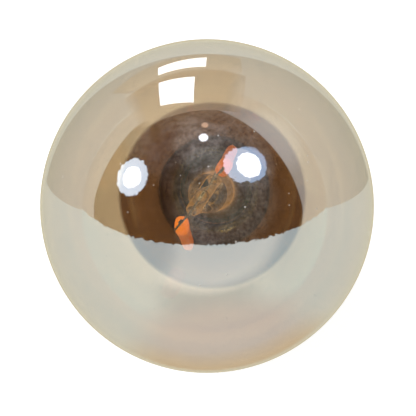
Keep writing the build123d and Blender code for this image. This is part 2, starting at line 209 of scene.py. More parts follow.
@dataclass(frozen=True)
class MirrorAmberGlass:
    """Blown soda-lime glass with a thin metal coat on its outer face.

    The coat mirrors the room in cool silver and lets the rest through as amber. It mirrors more towards the
    rim, where it turns champagne, and it is deep gold in the neck. A little dust lies on it.
    """

    silver: str = "#e8eefa"
    champagne: str = "#dccfae"
    amber: str = "#e8d8bf"
    neck_amber: str = "#7f5b3a"
    shoulder_amber: str = "#4a3424"
    dust: str = "#d8d4cc"
    bare: str = "#fffdf8"
    mirror_head_on: float = 0.36
    mirror_at_rim: float = 0.9
    rim_falloff: float = 0.42
    from_inside: float = 0.45
    cloud_mm: float = 18.0
    cloud_share: float = 0.03
    neck_top_mm: float = 52.6
    neck_blend_mm: float = 1.0
    shoulder_top_mm: float = 38.0
    shoulder_blend_mm: float = 4.0
    dust_mm: float = 2.4
    dust_share: float = 0.13
    dust_chance: float = 0.35
    dust_film: float = 0.5
    bare_head_on: float = 0.04
    bare_at_rim: float = 0.9
    bare_steepness: float = 5.0

    def coated(self) -> bpy.types.Material:
        """Make the outer face.

        Returns:
            The material with the coat.
        """
        material, tree, output = new_material("half_mirrored_amber_glass")
        place = add_node(tree, "ShaderNodeTexCoord").outputs["Object"]
        height = add_node(tree, "ShaderNodeSeparateXYZ", inputs={0: place}).outputs["Z"]
        facing = add_node(tree, "ShaderNodeLayerWeight", inputs={"Blend": self.rim_falloff}).outputs["Facing"]
        neck = add_node(
            tree,
            RANGE,
            EASED,
            {
                "Value": height,
                "From Min": self.neck_top_mm * MM,
                "From Max": (self.neck_top_mm - self.neck_blend_mm) * MM,
            },
        )
        gold = add_node(tree, MATHS, MAXIMUM, {0: facing, 1: neck})
        hue = add_node(
            tree, MIX, COLOURS, {FACTOR: gold, UNDER: linear(self.silver), OVER: linear(self.champagne)}
        ).outputs[BLENDED]
        glass = add_node(tree, "ShaderNodeBsdfTransparent", inputs={"Color": self.tint(tree, height, neck)})
        sheen = add_node(
            tree, "ShaderNodeBsdfAnisotropic", {"distribution": "GGX"}, {"Color": hue, "Roughness": 0.0}
        )
        share = self.mirror_share(tree, place, facing)
        clean = add_node(tree, "ShaderNodeMixShader", inputs={0: share, 1: glass, 2: sheen})
        film = add_node(tree, "ShaderNodeBsdfDiffuse", inputs={"Color": linear(self.dust)})
        dusty = add_node(tree, "ShaderNodeMixShader", inputs={0: self.specks(tree, place), 1: clean, 2: film})
        tree.links.new(dusty.outputs[0], output.inputs["Surface"])
        return material

    def mirror_share(
        self, tree: bpy.types.NodeTree, place: bpy.types.NodeSocket, facing: bpy.types.NodeSocket
    ) -> bpy.types.Node:
        """Share of the light that the coat mirrors.

        Args:
            tree: Tree to add to.
            place: Place on the glass.
            facing: How far the glass turns away, from 0 to 1.

        Returns:
            The share, uneven where the coat is cloudy and smaller from inside the globe.
        """
        turned = add_node(
            tree, RANGE, inputs={"Value": facing, "To Min": self.mirror_head_on, "To Max": self.mirror_at_rim}
        )
        cloud = add_node(
            tree, NOISE, inputs={"Vector": place, "Scale": 1 / (self.cloud_mm * MM), "Detail": 2.0}
        ).outputs["Fac"]
        thickness = add_node(
            tree,
            RANGE,
            inputs={"Value": cloud, "To Min": 1 - self.cloud_share, "To Max": 1 + self.cloud_share},
        )
        behind = add_node(tree, "ShaderNodeNewGeometry").outputs["Backfacing"]
        side = add_node(tree, RANGE, inputs={"Value": behind, "To Min": 1.0, "To Max": self.from_inside})
        cloudy = add_node(tree, MATHS, MULTIPLY, {0: turned, 1: thickness})
        return add_node(tree, MATHS, MULTIPLY | {"use_clamp": True}, {0: cloudy, 1: side})

    def tint(
        self, tree: bpy.types.NodeTree, height: bpy.types.NodeSocket, neck: bpy.types.Node
    ) -> bpy.types.NodeSocket:
        """Colour of the light that comes through.

        Args:
            tree: Tree to add to.
            height: Height on the lamp.
            neck: Mask of the neck.

        Returns:
            Pale amber in the globe, deep gold in the neck and brown in the shoulder.
        """
        shoulder = add_node(
            tree,
            RANGE,
            EASED,
            {
                "Value": height,
                "From Min": self.shoulder_top_mm * MM,
                "From Max": (self.shoulder_top_mm - self.shoulder_blend_mm) * MM,
            },
        )
        # The tint is darker in the neck and darker still in the shoulder.
        neck_and_shoulder_tint = add_node(
            tree,
            MIX,
            COLOURS,
            {FACTOR: shoulder, UNDER: linear(self.neck_amber), OVER: linear(self.shoulder_amber)},
        ).outputs[BLENDED]
        return add_node(
            tree, MIX, COLOURS, {FACTOR: neck, UNDER: linear(self.amber), OVER: neck_and_shoulder_tint}
        ).outputs[BLENDED]

    def specks(self, tree: bpy.types.NodeTree, place: bpy.types.NodeSocket) -> bpy.types.Node:
        """Specks of dust, drawn a little coarser than real ones so that they show.

        Args:
            tree: Tree to add to.
            place: Place on the glass.

        Returns:
            How much each place is covered.
        """
        cells = add_node(
            tree, "ShaderNodeTexVoronoi", inputs={"Vector": place, "Scale": 1 / (self.dust_mm * MM)}
        )
        chance = add_node(tree, "ShaderNodeSeparateColor", inputs={0: cells.outputs["Color"]}).outputs[0]
        size = add_node(
            tree,
            RANGE,
            inputs={"Value": chance, "From Min": 1 - self.dust_chance, "To Max": self.dust_share},
        )
        speck = add_node(tree, MATHS, {"operation": "LESS_THAN"}, {0: cells.outputs["Distance"], 1: size})
        return add_node(tree, MATHS, MULTIPLY, {0: speck, 1: self.dust_film})

    def inside(self) -> bpy.types.Material:
        """Make the inner face, which has no coat: clear, with the gloss of bare glass.

        Returns:
            The material without the coat.
        """
        material, tree, output = new_material("bare_glass")
        facing = add_node(tree, "ShaderNodeLayerWeight", inputs={"Blend": 0.5}).outputs["Facing"]
        steep = add_node(tree, MATHS, POWER, {0: facing, 1: self.bare_steepness})
        share = add_node(
            tree, RANGE, inputs={"Value": steep, "To Min": self.bare_head_on, "To Max": self.bare_at_rim}
        )
        glass = add_node(tree, "ShaderNodeBsdfTransparent", inputs={"Color": linear(self.bare)})
        gloss = add_node(tree, "ShaderNodeBsdfAnisotropic", inputs={"Color": linear(WHITE), "Roughness": 0.0})
        mix = add_node(tree, "ShaderNodeMixShader", inputs={0: share, 1: glass, 2: gloss})
        tree.links.new(mix.outputs[0], output.inputs["Surface"])
        return material


@dataclass(frozen=True)
class StemGlass:
    """Clear lead-free tube glass, worked in a flame.

    Its slow ripples bend what is behind it. Its edges, where they turn away, carry a painted highlight: a tan
    emission in place of the amber light that they would gather.
    """

    tint: str = "#f2f5ee"
    # Colour of the painted highlight on the edges.
    edge: str = "#cb9b5e"
    ior: float = 1.52
    ripple_mm: float = 5.0
    ripple_depth_mm: float = 0.2
    painted_edge_steepness: float = 5.0
    painted_edge_light: float = 1.15

    def build(self) -> bpy.types.Material:
        """Make the material.

        Returns:
            The clear glass.
        """
        material, tree, output = new_material("clear_tube_glass")
        place = add_node(tree, "ShaderNodeTexCoord").outputs["Object"]
        ripple = add_node(
            tree, NOISE, inputs={"Vector": place, "Scale": 1 / (self.ripple_mm * MM), "Detail": 1.0}
        ).outputs["Fac"]
        bump = add_node(
            tree,
            "ShaderNodeBump",
            inputs={"Strength": 0.15, "Distance": self.ripple_depth_mm * MM, "Height": ripple},
        )
        glass = add_node(
            tree,
            "ShaderNodeBsdfPrincipled",
            inputs={
                "Base Color": linear(self.tint),
                "Roughness": 0.0,
                "IOR": self.ior,
                "Transmission Weight": 1.0,
                "Normal": bump,
            },
        )
        # Painted highlight: tan emission on the edges where they turn away from view.
        facing = add_node(tree, "ShaderNodeLayerWeight", inputs={"Blend": 0.5}).outputs["Facing"]
        thin = add_node(tree, MATHS, POWER, {0: facing, 1: self.painted_edge_steepness})
        painted_edge_highlight = add_node(
            tree, "ShaderNodeEmission", inputs={"Color": linear(self.edge), "Strength": self.painted_edge_light}
        )
        mix = add_node(tree, "ShaderNodeMixShader", inputs={0: thin, 1: glass, 2: painted_edge_highlight})
        tree.links.new(mix.outputs[0], output.inputs["Surface"])
        return material


@dataclass(frozen=True)
class OrangePhosphor:
    """Silicone filled with yellow-orange phosphor powder, cured over the strip.

    It is satin. Its emission is painted light, as it is no lamp: a painted highlight, strongest at its head
    between the heights of painted_glow_head_mm.
    Its powder is far finer than a render shows, so its grain is drawn coarser.
    """

    name: str = "phosphor_silicone"
    deep: str = "#ff7a00"
    bright: str = "#ff9c00"
    smooth: float = 0.32
    rough: float = 0.55
    grain_mm: float = 0.35
    grain_depth_mm: float = 0.05
    patch_mm: float = 5.0
    depth_of_light_mm: float = 1.0
    # Strength of the painted emission at the head, and its share at the foot.
    painted_glow: float = 1.0
    painted_glow_foot_share: float = 0.3
    painted_glow_head_mm: Span = (89.2, 96.4)

    def build(self) -> bpy.types.Material:
        """Make the material.

        Returns:
            The glowing silicone.
        """
        material, tree, output = new_material(self.name)
        place = add_node(tree, "ShaderNodeTexCoord").outputs["Object"]
        height = add_node(tree, "ShaderNodeSeparateXYZ", inputs={0: place}).outputs["Z"]
        grain = add_node(
            tree, NOISE, inputs={"Vector": place, "Scale": 1 / (self.grain_mm * MM), "Detail": 3.0}
        ).outputs["Fac"]
        patch = add_node(
            tree, NOISE, inputs={"Vector": place, "Scale": 1 / (self.patch_mm * MM), "Detail": 1.0}
        ).outputs["Fac"]
        colour = add_node(
            tree, MIX, COLOURS, {FACTOR: patch, UNDER: linear(self.deep), OVER: linear(self.bright)}
        ).outputs[BLENDED]
        # Painted light: emission strength, rising to full at the head as a painted highlight.
        painted_glow = add_node(
            tree,
            RANGE,
            EASED,
            {
                "Value": height,
                "From Min": self.painted_glow_head_mm[0] * MM,
                "From Max": self.painted_glow_head_mm[1] * MM,
                "To Min": self.painted_glow_foot_share * self.painted_glow,
                "To Max": self.painted_glow,
            },
        )
        roughness = add_node(
            tree, RANGE, inputs={"Value": grain, "To Min": self.smooth, "To Max": self.rough}
        )
        bump = add_node(
            tree,
            "ShaderNodeBump",
            inputs={"Strength": 0.3, "Distance": self.grain_depth_mm * MM, "Height": grain},
        )
        jacket = add_node(
            tree,
            "ShaderNodeBsdfPrincipled",
            inputs={
                "Base Color": colour,
                "Roughness": roughness,
                "Subsurface Weight": 0.2,
                "Subsurface Scale": self.depth_of_light_mm * MM,
                "Emission Color": colour,
                "Emission Strength": painted_glow,
                "Normal": bump,
            },
        )
        tree.links.new(jacket.outputs[0], output.inputs["Surface"])
        return material


@dataclass(frozen=True)
class Metal:
    """A metal with drawn or rolled marks, dull patches and a second colour where it wears or tarnishes.

    Real marks are finer than a render shows, so they are drawn coarser.
    """

    name: str
    colour: str
    worn: str
    smooth: float
    rough: float
    mark_mm: Point
    patch_mm: float
    mark_depth_mm: float = 0.01
    worn_share: float = 0.5
    patch_edges: Span = (0.45, 0.75)

    def build(self) -> bpy.types.Material:
        """Make the material.

        Returns:
            The metal.
        """
        material, tree, output = new_material(self.name)
        place = add_node(tree, "ShaderNodeTexCoord").outputs["Object"]
        stretch = add_node(
            tree,
            "ShaderNodeMapping",
            inputs={"Vector": place, "Scale": tuple(1 / (size * MM) for size in self.mark_mm)},
        )
        marks = add_node(tree, NOISE, inputs={"Vector": stretch, "Scale": 1.0, "Detail": 4.0}).outputs["Fac"]
        patch = add_node(
            tree, NOISE, inputs={"Vector": place, "Scale": 1 / (self.patch_mm * MM), "Detail": 3.0}
        ).outputs["Fac"]
        tarnish = add_node(
            tree,
            RANGE,
            EASED,
            {
                "Value": patch,
                "From Min": self.patch_edges[0],
                "From Max": self.patch_edges[1],
                "To Max": self.worn_share,
            },
        )
        colour = add_node(
            tree, MIX, COLOURS, {FACTOR: tarnish, UNDER: linear(self.colour), OVER: linear(self.worn)}
        ).outputs[BLENDED]
        dull = add_node(tree, MATHS, ADD, {0: marks, 1: tarnish})
        roughness = add_node(
            tree,
            RANGE,
            inputs={
                "Value": dull,
                "From Min": 0.3,
                "From Max": 1.1,
                "To Min": self.smooth,
                "To Max": self.rough,
            },
        )
        bump = add_node(
            tree,
            "ShaderNodeBump",
            inputs={"Strength": 0.4, "Distance": self.mark_depth_mm * MM, "Height": marks},
        )
        metal = add_node(
            tree,
            "ShaderNodeBsdfPrincipled",
            inputs={"Base Color": colour, "Metallic": 1.0, "Roughness": roughness, "Normal": bump},
        )
        tree.links.new(metal.outputs[0], output.inputs["Surface"])
        return material


@dataclass(frozen=True)
class Moulded:
    """A cast, pressed or coated material with mottling and no metal in its look.

    Real grain is finer than a render shows, so it is drawn coarser.
    """

    name: str
    colour: str
    mottle: str
    smooth: float
    rough: float
    grain_mm: float
    patch_mm: float
    grain_depth_mm: float

    def build(self) -> bpy.types.Material:
        """Make the material.

        Returns:
            The moulded material.
        """
        material, tree, output = new_material(self.name)
        place = add_node(tree, "ShaderNodeTexCoord").outputs["Object"]
        grain = add_node(
            tree, NOISE, inputs={"Vector": place, "Scale": 1 / (self.grain_mm * MM), "Detail": 4.0}
        ).outputs["Fac"]
        patch = add_node(
            tree, NOISE, inputs={"Vector": place, "Scale": 1 / (self.patch_mm * MM), "Detail": 2.0}
        ).outputs["Fac"]
        colour = add_node(
            tree, MIX, COLOURS, {FACTOR: patch, UNDER: linear(self.colour), OVER: linear(self.mottle)}
        ).outputs[BLENDED]
        roughness = add_node(
            tree,
            RANGE,
            inputs={
                "Value": grain,
                "From Min": 0.3,
                "From Max": 0.7,
                "To Min": self.smooth,
                "To Max": self.rough,
            },
        )
        bump = add_node(
            tree,
            "ShaderNodeBump",
            inputs={"Strength": 0.5, "Distance": self.grain_depth_mm * MM, "Height": grain},
        )
        body = add_node(
            tree,
            "ShaderNodeBsdfPrincipled",
            inputs={"Base Color": colour, "Roughness": roughness, "Normal": bump},
        )
        tree.links.new(body.outputs[0], output.inputs["Surface"])
        return material


# Nickel wire, drawn: bright, with faint lines along it and greyer where the flame of the sealing reached it.
NICKEL_WIRE = Metal(
    "drawn_nickel_wire", colour="#c9c3b8", worn="#8f887c",
    smooth=0.16, rough=0.34, mark_mm=(0.15, 0.15, 2.0), patch_mm=3.0,
)
# Nickel strip, blanked: flatter and a little duller than the wire, with an even fine grain.
NICKEL_TAB = Metal(
    "blanked_nickel_strip", colour="#c4beb2", worn="#857d70",
    smooth=0.22, rough=0.42, mark_mm=(0.2, 0.2, 0.2), patch_mm=2.0,
)
# Brass sheet rolled to a thread and nickel plated: bright and a little yellow, marked around by the rollers.
NICKEL_PLATED_BRASS = Metal(
    "nickel_plated_brass", colour="#d6d2c8", worn="#a59a80",
    smooth=0.14, rough=0.3, mark_mm=(9.0, 9.0, 0.25), patch_mm=7.0, worn_share=0.35,
)
# Tin solder, cooled in a lump: pale grey and satin, with shallow dimples.
TIN_SOLDER = Metal(
    "tin_solder", colour="#c2c3c1", worn="#8a8b88",
    smooth=0.24, rough=0.5, mark_mm=(0.7, 0.7, 0.7), patch_mm=1.4, mark_depth_mm=0.08,
)
# Copper wire, dipped in tin: silvery, with copper showing through in places.
TINNED_COPPER = Metal(
    "tinned_copper_wire", colour="#c9c6bf", worn="#b07a52",
    smooth=0.2, rough=0.4, mark_mm=(0.15, 0.15, 2.0), patch_mm=2.5, worn_share=0.3,
)
# Basing cement, baked marble flour and resin: matt, sandy and tan.
BASING_CEMENT = Moulded(
    "basing_cement", colour="#b9a888", mottle="#9d8a68",
    smooth=0.75, rough=0.95, grain_mm=0.25, patch_mm=3.0, grain_depth_mm=0.08,
)
# Vitrite, glass poured black around the contact: glossy, with a slight orange peel.
BLACK_GLASS = Moulded(
    "black_vitrite_glass", colour="#0d0c10", mottle="#191720",
    smooth=0.06, rough=0.16, grain_mm=0.9, patch_mm=4.0, grain_depth_mm=0.02,
)
# Glass and epoxy laminate under a printed green mask: satin, with the weave just felt through it.
BOARD_LAMINATE = Moulded(
    "glass_epoxy_laminate", colour="#1f6a40", mottle="#175231",
    smooth=0.3, rough=0.45, grain_mm=0.4, patch_mm=5.0, grain_depth_mm=0.01,
)
# Sleeve shrunk on the capacitor's can: dark blue and smooth, nearly glossy.
CAPACITOR_SLEEVE = Moulded(
    "shrink_sleeve", colour="#232a3c", mottle="#1b2130",
    smooth=0.25, rough=0.4, grain_mm=0.8, patch_mm=4.0, grain_depth_mm=0.01,
)
# Epoxy moulded round the rectifier and the driver chip: near black and matt, with a very fine grain.
MOULDED_PACKAGE = Moulded(
    "moulding_epoxy", colour="#1a1b1d", mottle="#232426",
    smooth=0.5, rough=0.7, grain_mm=0.12, patch_mm=1.5, grain_depth_mm=0.01,
)
# Flameproof coat that the fusible resistor is dipped in: grey green, uneven and half matt.
RESISTOR_COAT = Moulded(
    "flameproof_coat", colour="#7f9488", mottle="#6c8277",
    smooth=0.4, rough=0.6, grain_mm=0.3, patch_mm=2.0, grain_depth_mm=0.02,
)
# Fired alumina that carries the chips: white and matt.
STRIP_CERAMIC = Moulded(
    "alumina_strip", colour="#e9e6de", mottle="#dcd8cd",
    smooth=0.5, rough=0.7, grain_mm=0.15, patch_mm=2.0, grain_depth_mm=0.005,
)
# Gallium nitride chips, sawn from a polished wafer: smooth and blue grey.
CHIP_BLUE = Moulded(
    "gallium_nitride_chip", colour="#3c4f86", mottle="#2d3d6e",
    smooth=0.1, rough=0.2, grain_mm=0.2, patch_mm=0.8, grain_depth_mm=0.002,
)


class GeometryTree:
    """Geometry tree with named inputs, whose result becomes a plain mesh."""

    SOCKETS = {float: "NodeSocketFloat", int: "NodeSocketInt", tuple: "NodeSocketVector"}

    def __init__(self, name: str, values: Mapping[str, Any]) -> None:
        """Start a tree.

        Args:
            name: Name of the tree.
            values: Value of each input by its name. Lengths are in metres.
        """
        self.tree = bpy.data.node_groups.new(name, "GeometryNodeTree")
        self.values = values
        self.keys: dict[str, str] = {}
        for label, value in values.items():
            kind = self.SOCKETS[type(value)]
            socket = self.tree.interface.new_socket(label, in_out="INPUT", socket_type=kind)
            self.keys[label] = socket.identifier
        self.tree.interface.new_socket("Geometry", in_out="OUTPUT", socket_type="NodeSocketGeometry")
        self.inputs = add_node(self.tree, "NodeGroupInput").outputs

    def finish(self, geometry: bpy.types.Node, materials: Sequence[tuple[bpy.types.Material, Any]]) -> None:
        """End the tree with real instances, smooth faces and the materials.

        Args:
            geometry: Node that ends the shape.
            materials: Each material with the faces that it goes on, True for all.
        """
        smooth = add_node(self.tree, "GeometryNodeSetShadeSmooth", inputs={0: geometry})
        dressed = add_node(self.tree, "GeometryNodeRealizeInstances", inputs={0: smooth})
        for material, faces in materials:
            dressed = add_node(
                self.tree,
                "GeometryNodeSetMaterial",
                inputs={0: dressed, "Selection": faces, "Material": material},
            )
        add_node(self.tree, "NodeGroupOutput", inputs={0: dressed})

    def to_mesh(self, name: str) -> bpy.types.Object:
        """Run the tree once and keep its result.

        Args:
            name: Name of the piece.

        Returns:
            A plain mesh object with no modifier.
        """
        carrier = make_object(name, np.empty((0, 3)), [], [])
        modifier = carrier.modifiers.new(self.tree.name, "NODES")
        modifier.node_group = self.tree
        for label, key in self.keys.items():
            modifier[key] = self.values[label]
        graph = bpy.context.evaluated_depsgraph_get()
        mesh = bpy.data.meshes.new_from_object(carrier.evaluated_get(graph))
        mesh.name = name
        carrier.modifiers.remove(modifier)
        carrier.data = mesh
        if mesh.materials[0] is None:
            mesh.materials.pop(index=0)
        log.info("%s: %d faces", name, len(mesh.polygons))
        return carrier


@dataclass(frozen=True)
class WallArcs:
    """Where the arcs of the envelope's wall lie, worked out in its tree. It is the same for both faces.

    middle and neck are the heights of the globe's centre and of the neck's narrowest place, waist is the
    radius at which the neck's arc has its centre, and lean is the angle below the horizon at which the globe's
    arc meets it. drop is how much narrower the mouth is than the neck, and shoulder is the radius of the
    shoulder's arc.
    """

    middle: bpy.types.Node
    neck: bpy.types.Node
    waist: bpy.types.Node
    lean: bpy.types.Node
    drop: bpy.types.Node
    shoulder: bpy.types.Node


@dataclass
class Globe:
    """Envelope of blown glass, turned from the same arcs as the solid. Its sizes are in millimetres."""

    radius: float = GLOBE_RADIUS
    wall: float = 0.9
    neck_radius: float = 17.0
    neck_sweep: float = 20.64
    mouth_radius: float = 11.3
    shoulder_height: float = 6.6
    weld: float = 0.002
    segments: int = 176
    globe_points: int = 111
    neck_points: int = 25
    shoulder_points: int = 13
    finish: MirrorAmberGlass = MirrorAmberGlass()

    def build(self) -> None:
        """Make the envelope in place of the solid: coated outside, bare inside."""
        low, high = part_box("glass_envelope")
        geometry = GeometryTree(
            "blown_envelope_rule",
            {
                "Radius": self.radius * MM,
                "Wall": self.wall * MM,
                "Neck Radius": self.neck_radius * MM,
                "Neck Sweep": self.neck_sweep * MM,
                "Mouth Radius": self.mouth_radius * MM,
                "Shoulder Height": self.shoulder_height * MM,
                "Crown": high.z,
                "Seal": low.z,
                "Weld": self.weld * MM,
                "Columns": self.segments + 1,
                "Globe Points": self.globe_points,
                "Neck Points": self.neck_points,
                "Shoulder Points": self.shoulder_points,
            },
        )
        arcs = self.wall_arcs(geometry)
        outer = self.face(geometry, arcs, 0.0)
        inner = self.face(geometry, arcs, geometry.inputs["Wall"])
        wall, outside = self.turned(geometry, self.section(geometry, outer, inner))
        geometry.finish(wall, [(self.finish.inside(), True), (self.finish.coated(), outside)])
        piece = geometry.to_mesh("blown_envelope")
        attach(piece, "root")
        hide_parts("glass_envelope")

    @staticmethod
    def wall_arcs(geometry: GeometryTree) -> WallArcs:
        """Work out where the arcs lie, so that each meets the next without a corner.

        Args:
            geometry: Tree to add to.

        Returns:
            The nodes that give their heights, radii and angles.
        """
        tree, size = geometry.tree, geometry.inputs
        middle = add_node(tree, MATHS, SUBTRACT, {0: size["Crown"], 1: size["Radius"]})
        apart = add_node(tree, MATHS, ADD, {0: size["Radius"], 1: size["Neck Sweep"]})
        waist = add_node(tree, MATHS, ADD, {0: size["Neck Radius"], 1: size["Neck Sweep"]})
        apart_squared = add_node(tree, MATHS, POWER, {0: apart, 1: 2.0})
        waist_squared = add_node(tree, MATHS, POWER, {0: waist, 1: 2.0})
        fall_squared = add_node(tree, MATHS, SUBTRACT, {0: apart_squared, 1: waist_squared})
        fall = add_node(tree, MATHS, ROOT, {0: fall_squared})
        drop = add_node(tree, MATHS, SUBTRACT, {0: size["Neck Radius"], 1: size["Mouth Radius"]})
        drop_squared = add_node(tree, MATHS, POWER, {0: drop, 1: 2.0})
        height_squared = add_node(tree, MATHS, POWER, {0: size["Shoulder Height"], 1: 2.0})
        chord_squared = add_node(tree, MATHS, ADD, {0: drop_squared, 1: height_squared})
        twice_drop = add_node(tree, MATHS, MULTIPLY, {0: drop, 1: 2.0})
        return WallArcs(
            middle=middle,
            neck=add_node(tree, MATHS, SUBTRACT, {0: middle, 1: fall}),
            waist=waist,
            lean=add_node(tree, MATHS, {"operation": "ARCTAN2"}, {0: fall, 1: waist}),
            drop=drop,
            shoulder=add_node(tree, MATHS, DIVIDE, {0: chord_squared, 1: twice_drop}),
        )

    @staticmethod
    def face(geometry: GeometryTree, arcs: WallArcs, inset: Any) -> list[bpy.types.Node]:
        """Section of one face of the wall, with its radius along X and its height along Y.

        Args:
            geometry: Tree to add to.
            arcs: Where the arcs lie.
            inset: Distance in from the outer face.

        Returns:
            The straight mouth and the arcs of the shoulder, neck and globe, each from its lower end.
        """
        tree, size = geometry.tree, geometry.inputs
        bend = add_node(tree, MATHS, SUBTRACT, {0: arcs.shoulder, 1: inset})
        reach = add_node(tree, MATHS, SUBTRACT, {0: bend, 1: arcs.drop})
        share = add_node(tree, MATHS, DIVIDE, {0: reach, 1: bend})
        turn = add_node(tree, MATHS, {"operation": "ARCCOSINE"}, {0: share})
        turn_sine = add_node(tree, MATHS, SINE, {0: turn})
        brow_fall = add_node(tree, MATHS, MULTIPLY, {0: bend, 1: turn_sine})
        brow = add_node(tree, MATHS, SUBTRACT, {0: arcs.neck, 1: brow_fall})
        mouth = add_node(tree, MATHS, SUBTRACT, {0: size["Mouth Radius"], 1: inset})
        ledge = add_node(tree, MATHS, SUBTRACT, {0: size["Neck Radius"], 1: arcs.shoulder})
        hollow = add_node(tree, MATHS, ADD, {0: size["Neck Sweep"], 1: inset})
        ball = add_node(tree, MATHS, SUBTRACT, {0: size["Radius"], 1: inset})
        below_neck = add_node(tree, MATHS, MULTIPLY, {0: turn, 1: -1.0})
        below_middle = add_node(tree, MATHS, MULTIPLY, {0: arcs.lean, 1: -1.0})
        ball_sweep = add_node(tree, MATHS, ADD, {0: arcs.lean, 1: math.pi / 2})
        start = add_node(tree, "ShaderNodeCombineXYZ", inputs={0: mouth, 1: size["Seal"]})
        end = add_node(tree, "ShaderNodeCombineXYZ", inputs={0: mouth, 1: brow})
        parts = [add_node(tree, "GeometryNodeCurvePrimitiveLine", inputs={"Start": start, "End": end})]
        rows = [
            (ledge, arcs.neck, bend, below_neck, turn, size["Shoulder Points"]),
            (arcs.waist, arcs.neck, hollow, math.pi, below_middle, size["Neck Points"]),
            (0.0, arcs.middle, ball, below_middle, ball_sweep, size["Globe Points"]),
        ]
        for across, up, radius, first_angle, sweep, points in rows:
            arc = add_node(
                tree,
                "GeometryNodeCurveArc",
                {"mode": "RADIUS"},
                {"Resolution": points, "Radius": radius, "Start Angle": first_angle, "Sweep Angle": sweep},
            )
            centre = add_node(tree, "ShaderNodeCombineXYZ", inputs={0: across, 1: up})
            parts.append(add_node(tree, "GeometryNodeTransform", inputs={0: arc, "Translation": centre}))
        return parts

    @staticmethod
    def section(
        geometry: GeometryTree, outer: Sequence[bpy.types.Node], inner: Sequence[bpy.types.Node]
    ) -> bpy.types.Node:
        """Join the curves of both faces.

        Args:
            geometry: Tree to add to.
            outer: Curves of the outer face, from the mouth up.
            inner: Curves of the inner face, from the mouth up.

        Returns:
            The whole section, from the crown inside, round the mouth, to the crown outside.
        """
        tree = geometry.tree
        down = [add_node(tree, "GeometryNodeReverseCurve", inputs={0: part}) for part in reversed(inner)]
        joined = add_node(tree, "GeometryNodeJoinGeometry")
        # The last link of this socket is the first part that it joins.
        for part in reversed([*down, *outer]):
            tree.links.new(part.outputs[0], joined.inputs[0])
        return joined

    @staticmethod
    def turned(
        geometry: GeometryTree, section: bpy.types.Node
    ) -> tuple[bpy.types.Node, bpy.types.NodeSocket]:
        """Turn the section about the lamp's axis, as the glass turns in its mould.

        Args:
            geometry: Tree to add to.
            section: Curves of the section, from the crown inside to the crown outside.

        Returns:
            The closed wall, and a field that is true on its outer face.
        """
        tree, size = geometry.tree, geometry.inputs
        count = add_node(tree, "GeometryNodeAttributeDomainSize", {"component": "CURVE"}, {0: section})
        rows = count.outputs["Point Count"]
        # A unit sheet, with the lamp's turn along its X and the section along its Y, both from -0.5 to 0.5.
        sheet = add_node(
            tree,
            "GeometryNodeMeshGrid",
            inputs={"Size X": 1.0, "Size Y": 1.0, "Vertices X": size["Columns"], "Vertices Y": rows},
        )
        spot = add_node(tree, "GeometryNodeInputPosition").outputs[0]
        around, along, _ = add_node(tree, "ShaderNodeSeparateXYZ", inputs={0: spot}).outputs
        held = add_node(tree, "GeometryNodeCaptureAttribute", {"domain": "FACE"}, {0: sheet})
        held.capture_items.new("FLOAT", "Along")
        tree.links.new(along, held.inputs[1])
        # The section's middle is the edge of the mouth, and what lies past it is outside.
        past_mouth = 0.001
        outside = add_node(
            tree, "FunctionNodeCompare", {"operation": "GREATER_THAN"}, {0: held.outputs[1], 1: past_mouth}
        ).outputs[0]
        along_share = add_node(tree, MATHS, ADD, {0: along, 1: 0.5})
        last_row = add_node(tree, MATHS, SUBTRACT, {0: rows, 1: 1.0})
        whole_row = add_node(tree, MATHS, MULTIPLY, {0: along_share, 1: last_row})
        row = add_node(tree, MATHS, {"operation": "ROUND"}, {0: whole_row})
        point = add_node(
            tree,
            "GeometryNodeSampleIndex",
            {"data_type": "FLOAT_VECTOR"},
            {0: section, "Value": spot, "Index": row},
        )
        radius, height, _ = add_node(tree, "ShaderNodeSeparateXYZ", inputs={0: point}).outputs
        angle = add_node(tree, MATHS, MULTIPLY, {0: around, 1: 2 * math.pi})
        cosine = add_node(tree, MATHS, COSINE, {0: angle})
        sine = add_node(tree, MATHS, SINE, {0: angle})
        x = add_node(tree, MATHS, MULTIPLY, {0: radius, 1: cosine})
        y = add_node(tree, MATHS, MULTIPLY, {0: radius, 1: sine})
        place = add_node(tree, "ShaderNodeCombineXYZ", inputs={0: x, 1: y, 2: height})
        wall = add_node(tree, "GeometryNodeSetPosition", inputs={0: held, "Position": place})
        closed = add_node(tree, "GeometryNodeMergeByDistance", inputs={0: wall, "Distance": size["Weld"]})
        return closed, outside


